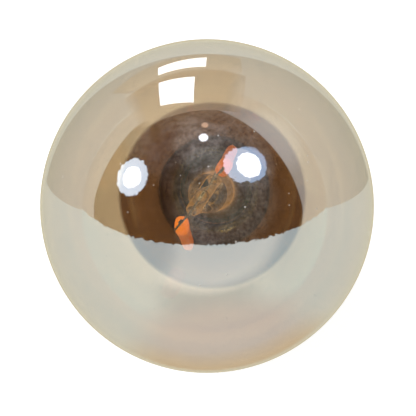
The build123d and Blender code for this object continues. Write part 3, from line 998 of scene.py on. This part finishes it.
@dataclass
class Jacket:
    """Phosphor silicone as it was dispensed along a filament's strip.

    It is squarish, a little wavy and fuller at its head. Its shares are of its node's half width, and the
    phase is the wave's fixed seed.
    """

    node: str
    finish: OrangePhosphor
    phase: float
    rings: int = 72
    sides: int = 40
    squareness: float = 2.7
    girth: float = 0.92
    head_share: float = 0.4
    head_power: float = 1.6
    wave_share: float = 0.12
    wave_scale: float = 5.0
    end_power: float = 10.0
    tip_share: float = 0.25

    def build(self) -> None:
        """Make the jacket on its node's own axes, in place of the node."""
        middle, axes, halves = self.frame_of_node()
        geometry = GeometryTree(
            f"{self.node}_rule",
            {
                "Rings": self.rings,
                "Sides": self.sides,
                "Squareness": self.squareness,
                "Girth": self.girth,
                "Head Share": self.head_share,
                "Head Power": self.head_power,
                "Wave Share": self.wave_share,
                "Wave Scale": self.wave_scale,
                "Phase": self.phase,
                "End Power": self.end_power,
                "Tip Share": self.tip_share,
                "Half Sizes": tuple(halves),
                "Middle": tuple(middle),
                "Turn": tuple(axes.to_euler()),
            },
        )
        geometry.finish(self.bead(geometry), [(self.finish.build(), True)])
        piece = geometry.to_mesh(f"{self.node}_cured")
        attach(piece, "root")
        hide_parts(self.node)

    @staticmethod
    def bead(geometry: GeometryTree) -> bpy.types.Node:
        """Bead of silicone from a plain cylinder: its section is squarish and its ends close.

        Args:
            geometry: Tree to add to.

        Returns:
            The node that gives the bead in its place.
        """
        tree, inputs = geometry.tree, geometry.inputs
        rod = add_node(
            tree,
            "GeometryNodeMeshCylinder",
            inputs={
                "Vertices": inputs["Sides"],
                "Side Segments": inputs["Rings"],
                "Radius": 1.0,
                "Depth": 2.0,
            },
        )
        spot = add_node(tree, "GeometryNodeInputPosition").outputs[0]
        x, y, z = add_node(tree, "ShaderNodeSeparateXYZ", inputs={0: spot}).outputs
        # The rings lie closer together towards both ends.
        quarter_turns = add_node(tree, MATHS, MULTIPLY, {0: z, 1: math.pi / 2})
        along = add_node(tree, MATHS, SINE, {0: quarter_turns})
        wide = add_node(tree, MATHS, ABSOLUTE, {0: x})
        deep = add_node(tree, MATHS, ABSOLUTE, {0: y})
        wide_power = add_node(tree, MATHS, POWER, {0: wide, 1: inputs["Squareness"]})
        deep_power = add_node(tree, MATHS, POWER, {0: deep, 1: inputs["Squareness"]})
        rim = add_node(tree, MATHS, ADD, {0: wide_power, 1: deep_power})
        root = add_node(tree, MATHS, DIVIDE, {0: -1.0, 1: inputs["Squareness"]})
        square = add_node(tree, MATHS, POWER, {0: rim, 1: root})
        girth, close = Jacket.girth_along(geometry, along)
        closed = add_node(tree, MATHS, MULTIPLY, {0: girth, 1: close})
        swell = add_node(tree, MATHS, MULTIPLY, {0: closed, 1: square})
        across = add_node(tree, MATHS, MULTIPLY, {0: x, 1: swell})
        through = add_node(tree, MATHS, MULTIPLY, {0: y, 1: swell})
        shaped = add_node(tree, "ShaderNodeCombineXYZ", inputs={0: across, 1: through, 2: along})
        sized = add_node(tree, "ShaderNodeVectorMath", MULTIPLY, {0: shaped, 1: inputs["Half Sizes"]})
        bead = add_node(tree, "GeometryNodeSetPosition", inputs={0: rod, "Position": sized})
        return add_node(
            tree,
            "GeometryNodeTransform",
            inputs={0: bead, "Translation": inputs["Middle"], "Rotation": inputs["Turn"]},
        )

    @staticmethod
    def girth_along(geometry: GeometryTree, along: bpy.types.Node) -> tuple[bpy.types.Node, bpy.types.Node]:
        """Work out the bead's girth along its length.

        Args:
            geometry: Tree to add to.
            along: Place along the bead, from -1 at its foot to 1 at its head.

        Returns:
            The girth with its head and wave, and how far the ends close, both as shares.
        """
        tree, inputs = geometry.tree, geometry.inputs
        wave_place = add_node(tree, MATHS, ADD, {0: along, 1: inputs["Phase"]})
        ripple = add_node(
            tree, NOISE, {"noise_dimensions": "1D"}, {"W": wave_place, "Scale": inputs["Wave Scale"]}
        )
        even = add_node(tree, MATHS, SUBTRACT, {0: ripple, 1: 0.5})
        wave = add_node(tree, MATHS, MULTIPLY, {0: even, 1: inputs["Wave Share"]})
        upper = add_node(tree, MATHS, MAXIMUM, {0: along, 1: 0.0})
        upper_power = add_node(tree, MATHS, POWER, {0: upper, 1: inputs["Head Power"]})
        head = add_node(tree, MATHS, MULTIPLY, {0: upper_power, 1: inputs["Head Share"]})
        extra = add_node(tree, MATHS, ADD, {0: head, 1: wave})
        girth = add_node(tree, MATHS, ADD, {0: extra, 1: inputs["Girth"]})
        length = add_node(tree, MATHS, ABSOLUTE, {0: along})
        length_power = add_node(tree, MATHS, POWER, {0: length, 1: inputs["End Power"]})
        left = add_node(tree, MATHS, SUBTRACT, {0: 1.0, 1: length_power})
        never_less = add_node(tree, MATHS, MAXIMUM, {0: left, 1: 0.0})
        dome = add_node(tree, MATHS, ROOT, {0: never_less})
        return girth, add_node(tree, MATHS, MAXIMUM, {0: dome, 1: inputs["Tip Share"]})

    def frame_of_node(self) -> tuple[np.ndarray, Matrix, np.ndarray]:
        """Middle, axes and half sizes of the node.

        Returns:
            Centre, a rotation whose axes are the node's width, depth and length, and half sizes, in metres.
        """
        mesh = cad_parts[self.node].data
        corners = np.empty(len(mesh.vertices) * 3)
        mesh.vertices.foreach_get("co", corners)
        corners = corners.reshape(-1, 3)
        mean = corners.mean(axis=0)
        length, width, _ = np.linalg.svd(corners - mean, full_matrices=False)[2]
        length = length if length[2] > 0 else -length
        axes = np.array([width, np.cross(length, width), length])
        spans = (corners - mean) @ axes.T
        low, high = spans.min(axis=0), spans.max(axis=0)
        return mean + (low + high) / 2 @ axes, Matrix(axes.T.tolist()), (high - low) / 2


@dataclass
class Filaments:
    """Two filaments: chips on a ceramic strip with a tab at each end, in a jacket of phosphor."""

    jackets: tuple[Jacket, ...] = (
        Jacket("filament_a_phosphor", OrangePhosphor(), phase=0.4),
        # Filament B's copy has weaker painted emission: painted shade, for the filament that lies in shadow.
        Jacket("filament_b_phosphor", OrangePhosphor("shaded_phosphor_silicone", painted_glow=0.45), phase=2.3),
    )
    tab: Metal = NICKEL_TAB
    strip: Moulded = STRIP_CERAMIC
    chip: Moulded = CHIP_BLUE

    def build(self) -> None:
        """Make the jackets and dress what they cover."""
        for jacket in self.jackets:
            jacket.build()
        ends = ("lower", "upper")
        dress(self.tab.build(), [f"filament_{side}_{end}_terminal" for side in "ab" for end in ends])
        dress(self.strip.build(), [f"filament_{side}_strip" for side in "ab"])
        dress(self.chip.build(), [f"filament_{side}_chips" for side in "ab"])


@dataclass
class Stem:
    """Stem that holds the filaments: one piece of tube glass, its exhaust tube and the wires."""

    glass: StemGlass = StemGlass()
    wire: Metal = NICKEL_WIRE

    def build(self) -> None:
        """Dress the stem."""
        dress(self.glass.build(), ["stem_glass", "exhaust_tube"])
        dress(self.wire.build(), ["lead_wire_a", "lead_wire_b", "bridge_wire"])


@dataclass
class ScrewCap:
    """E27 screw cap: rolled shell and contact, black glass between them, solder, and cement for the globe."""

    plate: Metal = NICKEL_PLATED_BRASS
    solder: Metal = TIN_SOLDER
    glass: Moulded = BLACK_GLASS
    cement: Moulded = BASING_CEMENT

    def build(self) -> None:
        """Dress the cap."""
        dress(self.plate.build(), ["cap_shell", "centre_contact"])
        dress(self.solder.build(), ["side_solder"])
        dress(self.glass.build(), ["cap_insulator"])
        dress(self.cement.build(), ["basing_cement"])


@dataclass
class Driver:
    """Driver in the cap: a round board with its parts, and the wires to the shell and the contact."""

    board: Moulded = BOARD_LAMINATE
    sleeve: Moulded = CAPACITOR_SLEEVE
    package: Moulded = MOULDED_PACKAGE
    coat: Moulded = RESISTOR_COAT
    wire: Metal = TINNED_COPPER

    def build(self) -> None:
        """Dress the driver."""
        dress(self.board.build(), ["driver_board"])
        dress(self.sleeve.build(), ["smoothing_capacitor"])
        dress(self.package.build(), ["bridge_rectifier", "driver_chip"])
        dress(self.coat.build(), ["fusible_resistor"])
        dress(self.wire.build(), ["live_wire", "neutral_wire"])


@dataclass
class PhotoCamera:
    """Camera at the photograph's angle, framed by the globe's outline in pixels, with lengths in metres."""

    globe_centre: Point = GLOBE_CENTRE
    globe_radius: float = GLOBE_RADIUS * MM
    radius_pixels: float = 167.0
    centre_pixels: Span = (207.0, 206.0)
    direction: Point = (0.040, 0.0825, 0.9958)
    distance: float = 0.70
    sensor_mm: float = 36.0

    def build(self) -> None:
        """Put the camera in its place."""
        data = bpy.data.cameras.new("camera")
        camera = bpy.data.objects.new("camera", data)
        bpy.context.scene.collection.objects.link(camera)
        outline = math.tan(math.asin(self.globe_radius / self.distance))
        focal_pixels = self.radius_pixels / outline
        data.sensor_width = self.sensor_mm
        data.lens = self.sensor_mm * focal_pixels / PHOTO_WIDTH
        back = Vector(self.direction).normalized()
        right = Vector((0, 1, 0)).cross(back).normalized()
        up = back.cross(right)
        pixel = self.distance / focal_pixels
        middle = PHOTO_WIDTH / 2
        aim = (
            Vector(self.globe_centre)
            + right * (middle - self.centre_pixels[0]) * pixel
            - up * (middle - self.centre_pixels[1]) * pixel
        )
        rotation = Matrix((right, up, back)).transposed().to_4x4()
        camera.matrix_world = Matrix.Translation(aim + back * self.distance) @ rotation
        bpy.context.scene.camera = camera


@dataclass(frozen=True)
class Cap:
    """Round part of the room around the lamp.

    It has its middle's direction, its radius and the width of its soft edge in degrees, and a ripple: how far
    the edge wanders in and out, as a share of the radius.
    """

    axis: Point
    angle: float
    edge: float
    ripple: float = 0.0


@dataclass(frozen=True)
class Patch:
    """Light of one colour in a round part of the room."""

    cap: Cap
    colour: str
    level: float = 1.0


@dataclass(frozen=True)
class RoomLight:
    """Round light in the room: a ring of one colour, and a bright core where it has one."""

    axis: Point
    ring: float
    core: float
    colour: str
    level: float
    ring_edge: float = 1.2
    core_edge: float = 1.6
    core_level: float = 4.5
    ripple: float = 0.09

    def patches(self) -> list[Patch]:
        """List the ring, then the core.

        Returns:
            One patch or two.
        """
        ring = Patch(Cap(self.axis, self.ring, self.ring_edge, self.ripple), self.colour, self.level)
        core = Patch(Cap(self.axis, self.core, self.core_edge, self.ripple), WHITE, self.core_level)
        return [ring, core] if self.core else [ring]


@dataclass(frozen=True)
class Smear:
    """Cloudy unevenness of the ceiling's brightness, between a dark and a bright share."""

    scale: float
    detail: float
    dark: float
    bright: float
    roughness: float = 0.5
    distortion: float = 0.0


# Round lights in the room: one at the left, one at the right that is made of three, and two small ones.
ROOM_LIGHTS = (
    RoomLight((-0.749, 0.343, 0.567), ring=11.2, core=6.4, colour="#e6f5ff", level=2.1),
    RoomLight((0.492, 0.520, 0.700), ring=11.6, core=0.0, colour="#cfe4ff", level=1.45),
    RoomLight((0.408, 0.520, 0.760), ring=11.4, core=0.0, colour="#e8f1ff", level=1.75),
    RoomLight((0.490, 0.510, 0.710), ring=8.0, core=8.0, colour=WHITE, level=4.0),
    RoomLight((-0.012, 0.784, 0.621), ring=2.9, core=2.1, colour=WHITE, level=2.6),
    RoomLight((-0.001, 0.874, 0.486), ring=1.9, core=0.0, colour="#f9d0ae", level=1.5),
)
# Greyer, browner and paler places of the dark ceiling, the broad ones first.
HAZES = (
    Patch(Cap((0.0, 0.95, 0.35), 38.0, 40.0), "#7f766d"),
    Patch(Cap((0.25, 0.15, 1.0), 26.0, 30.0), "#857b6d"),
    Patch(Cap((-0.56, 0.68, 0.47), 14.0, 20.0), "#5a5859"),
    Patch(Cap((-0.88, 0.38, 0.22), 12.0, 14.0), "#754f30"),
    Patch(Cap((0.03, 0.68, 0.73), 13.0, 20.0), "#a69f97"),
    Patch(Cap((-0.04, -0.22, 0.96), 10.0, 18.0), "#857c73"),
    Patch(Cap((0.45, 0.52, 0.73), 17.0, 12.0), "#948b82"),
    Patch(Cap((-0.18, 0.87, 0.46), 4.0, 7.0), "#a39b90"),
    Patch(Cap((-0.25, 0.72, 0.65), 4.0, 7.0), "#9c9388"),
)
BROAD_SMEARS = Smear(scale=4.5, detail=5.0, dark=0.6, bright=1.35, roughness=0.6, distortion=1.2)
FINE_SMEARS = Smear(scale=26.0, detail=6.0, dark=0.72, bright=1.28)
# The ceiling is what lies in all three of its caps, and the table what lies in both of its own.
CEILING_CAPS = (
    Cap((-0.09, 0.0, 1.0), 75.3, 1.2),
    Cap((-0.32, -0.224, 0.92), 89.5, 1.2),
    Cap((0.433, -0.25, 0.866), 107.5, 1.2),
)
TABLE_CAPS = (
    Cap((0.04, -1.0, -0.39), 90.0, 0.8, ripple=0.012),
    Cap((-0.02, -1.0, -0.39), 90.0, 0.8, ripple=0.012),
)
# Paler place of the wall at the right.
WALL_LIGHTS = (Patch(Cap((0.66, 0.68, 0.34), 15.0, 20.0), "#e0e2de"),)
# Cooler, brighter and dimmer places of the table.
TABLE_LIGHTS = (
    Patch(Cap((0.04, -0.9, 0.4), 22.0, 26.0), "#c8f0ff", 0.7),
    Patch(Cap((0.0, 0.0, 1.0), 54.0, 16.0), "#f7fff5", 1.45),
    Patch(Cap((-0.6, -0.42, 0.7), 14.0, 20.0), "#d9f0f0", 1.12),
    Patch(Cap((0.12, -0.97, -0.2), 32.0, 26.0), "#d6d6da"),
)


@dataclass
class Room:
    """What the mirror coat reflects: a dark ceiling, a pale wall, a bright table below and round lights."""

    tree: bpy.types.NodeTree
    way: bpy.types.NodeSocket
    ceiling: str = "#3d3128"
    wall: str = "#c6c5be"
    table: str = "#dff9fa"
    ripple_scale: float = 22.0
    smear_edges: Span = (0.35, 0.65)
    broad: Smear = BROAD_SMEARS
    fine: Smear = FINE_SMEARS

    def mask(self, cap: Cap) -> bpy.types.Node:
        """Mask of a round part of the room.

        Args:
            cap: The part.

        Returns:
            A node that is 1 inside it.
        """
        middle = Vector(cap.axis).normalized()
        nearness = add_node(
            self.tree, "ShaderNodeVectorMath", {"operation": "DOT_PRODUCT"}, {0: self.way, 1: middle}
        ).outputs["Value"]
        if cap.ripple:
            wave = add_node(
                self.tree, NOISE, inputs={"Vector": self.way, "Scale": self.ripple_scale, "Detail": 3.0}
            ).outputs["Fac"]
            sway = 2 * math.sin(math.radians(cap.angle)) * math.radians(cap.angle) * cap.ripple
            shift = add_node(self.tree, RANGE, inputs={"Value": wave, "To Min": -sway, "To Max": sway})
            nearness = add_node(self.tree, MATHS, ADD, {0: nearness, 1: shift})
        return add_node(
            self.tree,
            RANGE,
            EASED,
            {
                "Value": nearness,
                "From Min": math.cos(math.radians(cap.angle + cap.edge / 2)),
                "From Max": math.cos(math.radians(cap.angle - cap.edge / 2)),
            },
        )

    def mask_of_all(self, caps: Sequence[Cap]) -> bpy.types.Node:
        """Mask of what lies in several round parts at once.

        Args:
            caps: The parts.

        Returns:
            A node that is 1 where all of them are.
        """
        shared, *others = [self.mask(cap) for cap in caps]
        for other in others:
            shared = add_node(self.tree, MATHS, MULTIPLY, {0: shared, 1: other})
        return shared

    def light_up(self, below: Any, patches: Sequence[Patch]) -> Any:
        """Lay patches of light over a colour, one after another.

        Args:
            below: Colour that they lie on.
            patches: The patches, the lowest first.

        Returns:
            The colour with all patches.
        """
        for patch in patches:
            layers = {FACTOR: self.mask(patch.cap), UNDER: below, OVER: linear(patch.colour, patch.level)}
            below = add_node(self.tree, MIX, COLOURS, layers).outputs[BLENDED]
        return below

    def smear_level(self, smear: Smear) -> bpy.types.Node:
        """Brightness that smears leave in each direction.

        Args:
            smear: How large and strong they are.

        Returns:
            A node between the smears' dark and bright shares.
        """
        clouds = add_node(
            self.tree,
            NOISE,
            inputs={
                "Vector": self.way,
                "Scale": smear.scale,
                "Detail": smear.detail,
                "Roughness": smear.roughness,
                "Distortion": smear.distortion,
            },
        )
        return add_node(
            self.tree,
            RANGE,
            inputs={
                "Value": clouds,
                "From Min": self.smear_edges[0],
                "From Max": self.smear_edges[1],
                "To Min": smear.dark,
                "To Max": smear.bright,
            },
        )

    def smeared_ceiling(self) -> bpy.types.NodeSocket:
        """Colour of the ceiling, which the coat's smears make uneven.

        Returns:
            The hazy colour times the brightness of the broad and the fine smears.
        """
        smears = {0: self.smear_level(self.broad), 1: self.smear_level(self.fine)}
        level = add_node(self.tree, MATHS, MULTIPLY, smears)
        haze = self.light_up(linear(self.ceiling), HAZES)
        return add_node(
            self.tree, MIX, COLOURS | {"blend_type": "MULTIPLY"}, {FACTOR: 1.0, UNDER: haze, OVER: level}
        ).outputs[BLENDED]

    def colour(self) -> bpy.types.NodeSocket:
        """Colour of the room in each direction.

        Returns:
            The wall and ceiling, the table over them, and the round lights over all.
        """
        wall = self.light_up(linear(self.wall), WALL_LIGHTS)
        ceiling_mask = self.mask_of_all(CEILING_CAPS)
        above = add_node(
            self.tree, MIX, COLOURS, {FACTOR: ceiling_mask, UNDER: wall, OVER: self.smeared_ceiling()}
        ).outputs[BLENDED]
        table = self.light_up(linear(self.table), TABLE_LIGHTS)
        table_mask = self.mask_of_all(TABLE_CAPS)
        room = add_node(
            self.tree, MIX, COLOURS, {FACTOR: table_mask, UNDER: above, OVER: table}
        ).outputs[BLENDED]
        return self.light_up(room, [patch for light in ROOM_LIGHTS for patch in light.patches()])


def seen_rays(tree: bpy.types.NodeTree) -> tuple[bpy.types.Node, bpy.types.NodeSocket]:
    """Tell rays that see the studio itself from rays that see it in a mirror.

    Args:
        tree: Tree to add to.

    Returns:
        A node that is 1 for rays from the camera, also through glass, and a socket that is 1 for glossy rays.
    """
    path = add_node(tree, "ShaderNodeLightPath").outputs
    sources = {0: path[Ray.CAMERA.value], 1: path[Ray.TRANSMISSION.value]}
    return add_node(tree, MATHS, ADD | {"use_clamp": True}, sources), path[Ray.GLOSSY.value]


@dataclass
class Studio:
    """Even world light, one large soft light, and the room that only the mirror coat sees."""

    ambient_level: float = 0.62
    key_place: Point = (-0.45, 0.75, 1.2)
    key_aim: Point = GLOBE_CENTRE
    key_size: float = 0.9
    key_watts: float = 9.0

    def build(self) -> None:
        """Light the lamp."""
        self.add_world()
        self.add_key()

    def add_world(self) -> None:
        """Light the lamp evenly, show white behind it, and give its glass a room to mirror."""
        world = bpy.data.worlds.new("studio")
        bpy.context.scene.world = world
        world.use_nodes = True
        tree = world.node_tree
        tree.nodes.clear()
        output = add_node(tree, "ShaderNodeOutputWorld")
        way = add_node(tree, "ShaderNodeTexCoord").outputs["Generated"]
        seen, mirrored = seen_rays(tree)
        room = Room(tree, way).colour()
        ambient = linear(WHITE, self.ambient_level)
        lit = add_node(tree, MIX, COLOURS, {FACTOR: mirrored, UNDER: ambient, OVER: room}).outputs[BLENDED]
        colour = add_node(
            tree, MIX, COLOURS, {FACTOR: seen, UNDER: lit, OVER: linear(WHITE)}
        ).outputs[BLENDED]
        light = add_node(tree, "ShaderNodeBackground", inputs={"Color": colour, "Strength": 1.0})
        tree.links.new(light.outputs[0], output.inputs["Surface"])

    def add_key(self) -> None:
        """Hang the soft light above the lamp, where no mirror shows it."""
        data = bpy.data.lights.new("soft_key", "AREA")
        data.shape = "DISK"
        data.size = self.key_size
        data.energy = self.key_watts
        key = bpy.data.objects.new("soft_key", data)
        bpy.context.scene.collection.objects.link(key)
        place = Vector(self.key_place)
        key.location = place
        key.rotation_euler = (place - Vector(self.key_aim)).to_track_quat("Z", "Y").to_euler()
        key.visible_glossy = False
        key.visible_camera = False


@dataclass
class Floor:
    """Pale matt floor under the lamp. In the mirror coat it shows a painted colour in place of its lit shade:
    cool, with a painted warm shade in front of the lamp for the lamp's amber shadow.
    """

    colour: str = "#f4f4f2"
    half_width: float = 4.0
    level: float = CAD_BOX[0][2] - 0.0004
    lift: float = 0.5
    cool_near: Colour = linear("#f2f9fa", 0.94)
    cool_far: Colour = linear("#e4f4f6", 0.95)
    # Painted shade: darker, warmer colours for the floor in front of the lamp, where the lamp's amber shadow
    # falls.
    painted_shade_near: Colour = linear("#e6d4bd")
    painted_shade_far: Colour = linear("#dedbdc")
    painted_shade_side: Cap = Cap((0.12, -1.0, 0.0), 30.0, 22.0)
    painted_shade_from: Span = (0.085, 0.115)
    far_from: Span = (0.12, 0.3)

    def build(self) -> None:
        """Lay the floor."""
        material, tree, output = new_material("studio_floor")
        seen, mirrored = seen_rays(tree)
        lift = add_node(tree, MATHS, MULTIPLY, {0: seen, 1: self.lift})
        matt = add_node(
            tree,
            "ShaderNodeBsdfPrincipled",
            inputs={
                "Base Color": linear(self.colour),
                "Roughness": 0.9,
                "Specular IOR Level": 0.0,
                "Emission Color": linear(WHITE),
                "Emission Strength": lift,
            },
        )
        # The mirror coat sees this painted emission colour instead of the floor's lit shade.
        painted_glow = add_node(tree, "ShaderNodeEmission", inputs={"Color": self.mirrored_colour(tree)})
        mix = add_node(tree, "ShaderNodeMixShader", inputs={0: mirrored, 1: matt, 2: painted_glow})
        tree.links.new(mix.outputs[0], output.inputs["Surface"])
        half, level = self.half_width, self.level
        corners = [(-half, -half, level), (half, -half, level), (half, half, level), (-half, half, level)]
        floor = make_object("floor", np.array(corners), [(0, 1, 2, 3)], [material])
        log.info("%s: %s", floor.name, material.name)

    def mirrored_colour(self, tree: bpy.types.NodeTree) -> bpy.types.NodeSocket:
        """Painted colour of the floor in the mirror coat, by distance and direction from the lamp.

        Args:
            tree: Tree to add to.

        Returns:
            Painted warm shade in front of the lamp, for its amber shadow, and cool elsewhere, each with a near
            and a far colour.
        """
        place = add_node(tree, "ShaderNodeTexCoord").outputs["Object"]
        flat = add_node(tree, "ShaderNodeVectorMath", MULTIPLY, {0: place, 1: (1, 1, 0)})
        way = add_node(tree, "ShaderNodeVectorMath", {"operation": "NORMALIZE"}, {0: flat}).outputs[0]
        reach = add_node(tree, "ShaderNodeVectorMath", {"operation": "LENGTH"}, {0: flat}).outputs["Value"]
        far, front = [
            add_node(tree, RANGE, inputs={"Value": reach, "From Min": start, "From Max": end})
            for start, end in (self.far_from, self.painted_shade_from)
        ]
        cool, warm = [
            add_node(tree, MIX, COLOURS, {FACTOR: far, UNDER: near_colour, OVER: far_colour}).outputs[BLENDED]
            for near_colour, far_colour in ((self.cool_near, self.cool_far), (self.painted_shade_near, self.painted_shade_far))
        ]
        painted_shade_mask = add_node(tree, MATHS, MULTIPLY, {0: front, 1: Room(tree, way).mask(self.painted_shade_side)})
        return add_node(tree, MIX, COLOURS, {FACTOR: painted_shade_mask, UNDER: cool, OVER: warm}).outputs[BLENDED]


@dataclass
class Card:
    """Flat card with its own light, which only the mirror coat and other glossy faces see."""

    name: str
    colour: str
    strength: float = 1.0
    feather: float = 0.0
    corners: Sequence[Point] = ()

    def build(self) -> None:
        """Make a card of one face from its corners in metres."""
        self.stage(self.corners, [tuple(range(len(self.corners)))])

    def stage(self, points: Sequence[Point], faces: Sequence[Sequence[int]]) -> None:
        """Make the card, hide it from all but glossy rays and stage it.

        Args:
            points: Vertices in metres.
            faces: Vertex numbers of each face.
        """
        material, tree, output = new_material(self.name)
        shader = add_node(
            tree, "ShaderNodeEmission", inputs={"Color": linear(self.colour), "Strength": self.strength}
        )
        if self.feather:
            spread = add_node(tree, "ShaderNodeTexCoord").outputs["Generated"]
            across = add_node(tree, "ShaderNodeSeparateXYZ", inputs={0: spread}).outputs["X"]
            left, right = [
                add_node(tree, RANGE, inputs={"Value": across, "From Min": start, "From Max": end})
                for start, end in ((0.0, self.feather), (1.0, 1.0 - self.feather))
            ]
            solid = add_node(tree, MATHS, MULTIPLY, {0: left, 1: right})
            clear = add_node(tree, "ShaderNodeBsdfTransparent")
            shader = add_node(tree, "ShaderNodeMixShader", inputs={0: solid, 1: clear, 2: shader})
        tree.links.new(shader.outputs[0], output.inputs["Surface"])
        card = make_object(self.name, np.array(points), faces, [material])
        card.visible_camera = False
        card.visible_diffuse = False
        card.visible_transmission = False
        card.visible_shadow = False
        log.info("%s: %d faces", card.name, len(faces))


@dataclass
class FarFloor(Card):
    """Dimmer floor across the room: a half disc with a half-elliptic bay in its straight side.

    The droop is how far its two ends reach past the straight side, in radians, at the right and the left.
    """

    name: str = "far_floor"
    colour: str = "#cccfca"
    level: float = CAD_BOX[0][2] - 0.0003
    middle: Span = (-0.012, 0.009)
    bay: Span = (0.1, 0.155)
    reach: float = 3.8
    droop: Span = (0.02, 0.04)
    steps: int = 48

    def build(self) -> None:
        """Make the card of faces between the bay and the far edge."""
        across, along = self.middle
        turns = [math.pi * step / self.steps for step in range(self.steps + 1)]
        wider = 1 + sum(self.droop) / math.pi
        wide = [turn * wider - self.droop[0] for turn in turns]
        width, depth = self.bay
        inner = [(across + width * math.cos(turn), along + depth * math.sin(turn)) for turn in turns]
        outer = [(across + self.reach * math.cos(turn), along + self.reach * math.sin(turn)) for turn in wide]
        ring = self.steps + 1
        faces = [(i, i + ring, i + ring + 1, i + 1) for i in range(self.steps)]
        self.stage([(x, y, self.level) for x, y in inner + outer], faces)


# Heights of the cards on the floor, and how far behind the lamp the window and its wall stand.
DIM_LEVEL = CAD_BOX[0][2] - 0.0002
SILL_LEVEL = CAD_BOX[0][2] - 0.00015
WINDOW = 0.325
WALL = 0.34

CARDS = (
    # Light that the window throws on the sill in front of it.
    Card(
        "sill_card", WHITE, strength=2.6,
        corners=(
            (-0.078, 0.203, SILL_LEVEL),
            (-0.004, 0.191, SILL_LEVEL),
            (-0.006, 0.293, SILL_LEVEL),
            (-0.113, 0.285, SILL_LEVEL),
        ),
    ),
    # The window itself.
    Card(
        "window_card", WHITE, strength=2.6,
        corners=(
            (-0.1315, WINDOW, 0.0346),
            (-0.0321, WINDOW, 0.0494),
            (-0.037, WINDOW, 0.1819),
            (-0.1453, WINDOW, 0.1626),
        ),
    ),
    # Dim floor between the lamp and the wall.
    Card(
        "dim_floor", "#cbc4b4", feather=0.16,
        corners=(
            (-0.15, 0.165, DIM_LEVEL),
            (0.035, 0.165, DIM_LEVEL),
            (0.09, WALL, DIM_LEVEL),
            (-0.24, WALL, DIM_LEVEL),
        ),
    ),
    # Tan wall round the window.
    Card(
        "window_wall", "#b6aa96", feather=0.16,
        corners=(
            (-0.28, WALL, 0.0),
            (0.1, WALL, 0.0),
            (0.125, WALL, 0.214),
            (-0.28, WALL, 0.25),
        ),
    ),
    FarFloor(),
)


def main() -> None:
    """Build the lamp's looks and its studio."""
    logging.basicConfig(level=logging.INFO, format="%(name)s: %(message)s")
    bpy.context.scene.view_settings.view_transform = "Standard"
    lamp = (Globe(), Stem(), Filaments(), ScrewCap(), Driver())
    setting = (PhotoCamera(), Studio(), Floor(), *CARDS)
    for part in lamp + setting:
        part.build()


if __name__ == "__main__":
    main()
